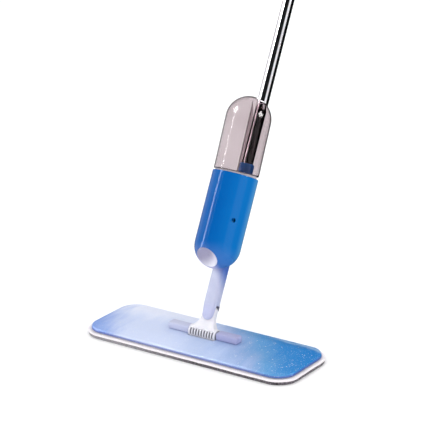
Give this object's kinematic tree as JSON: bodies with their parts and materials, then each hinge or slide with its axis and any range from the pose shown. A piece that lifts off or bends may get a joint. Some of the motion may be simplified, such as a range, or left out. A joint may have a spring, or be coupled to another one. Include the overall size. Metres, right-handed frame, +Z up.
{
  "type": "flat mop",
  "caption": "Flat mop with a crowned rectangular head, a cloth pad, a two-way joint, a trigger sprayer with its own bottle in front of the pole, and a chrome pole with a grip.",
  "frame": {"origin": "centre of the pad's underside, on the floor that the head lies on", "axes": "+X along the head's length, to the right as seen from the front; +Y to the back, the way the pole leans; +Z up"},
  "size_m": [0.403, 0.6095, 1.0816],
  "materials": {
    "blue_plastic": "glossy, moulded",
    "pale_plastic": "satin, moulded",
    "white_plastic": "satin, moulded",
    "grey_plastic": "satin, moulded",
    "navy_plastic": "satin, moulded",
    "chrome_tube": "polished, plated",
    "steel": "zinc-plated",
    "smoke_clear": "see-through, smoke tinted",
    "hose_clear": "see-through",
    "soft_rubber": "matt",
    "microfibre_white": "woven, with a bound edge",
    "microfibre_grey": "looped pile",
    "hook_tape": "hook side of a hook-and-loop tape"
  },
  "bodies": {
    "handle": {"neck": "pale_plastic", "swivel_pin": "steel", "housing_left": "blue_plastic", "housing_right": "blue_plastic", "housing_screw": "steel", "pole_screw": "steel", "nozzle_bezel": "white_plastic", "nozzle_tip": "grey_plastic", "pump_barrel": "white_plastic", "pump_spring": "steel", "outlet_hose": "hose_clear", "inlet_hose": "hose_clear", "bottle_seat": "white_plastic", "seat_seal": "soft_rubber", "pole_collar": "navy_plastic", "pole_lower": "chrome_tube", "pole_upper": "chrome_tube", "pole_plug": "white_plastic", "pole_sleeve": "grey_plastic", "grip_left": "blue_plastic", "grip_right": "blue_plastic", "grip_screw_1": "steel", "grip_screw_2": "steel", "trigger_pin": "steel", "hang_loop": "grey_plastic"},
    "yoke": {"yoke": "white_plastic"},
    "head": {"head_plate": "blue_plastic", "head_base": "white_plastic", "base_screw_1": "steel", "base_screw_2": "steel", "base_screw_3": "steel", "base_screw_4": "steel", "hook_strip_front": "hook_tape", "hook_strip_rear": "hook_tape", "pad_pile": "microfibre_grey", "pad_backing": "microfibre_white", "hinge_block_left": "pale_plastic", "hinge_block_right": "pale_plastic", "hinge_axle": "steel", "block_screw_1": "steel", "block_screw_2": "steel"},
    "bottle": {"bottle_shell": "smoke_clear", "bottle_cap": "grey_plastic", "cap_valve": "soft_rubber"},
    "trigger": {"trigger": "grey_plastic"},
    "pump": {"push_rod": "steel", "pump_plunger": "grey_plastic"}
  },
  "joints": [
    {"name": "neck_swivel", "type": "hinge", "parent": "handle", "child": "yoke", "pos_m": [0, 0.01433, 0.05261], "axis": [0, 0.8942, -0.4478], "range_deg": [-50, 50]},
    {"name": "head_tilt", "type": "hinge", "parent": "yoke", "child": "head", "pos_m": [0, 0, 0.024], "axis": [1, 0, 0], "range_deg": [-85, 48]},
    {"name": "bottle_lift", "type": "slide", "parent": "handle", "child": "bottle", "axis": [0, 0.4478, 0.8942], "range_m": [0, 0.045]},
    {"name": "trigger_squeeze", "type": "hinge", "parent": "handle", "child": "trigger", "pos_m": [0, 0.45316, 0.97361], "axis": [-1, 0, 0], "range_deg": [0, 14], "stiffness_Nm_per_rad": 0.6, "springref_deg": -20.05},
    {"name": "pump_stroke", "type": "slide", "parent": "handle", "child": "pump", "axis": [0, -0.4478, -0.8942], "range_m": [0, 0.0049], "deforming": ["pump_spring"]}
  ],
  "couplings": [
    {"joint": "pump_stroke", "follows": "trigger_squeeze", "m_per_rad": 0.02}
  ]
}
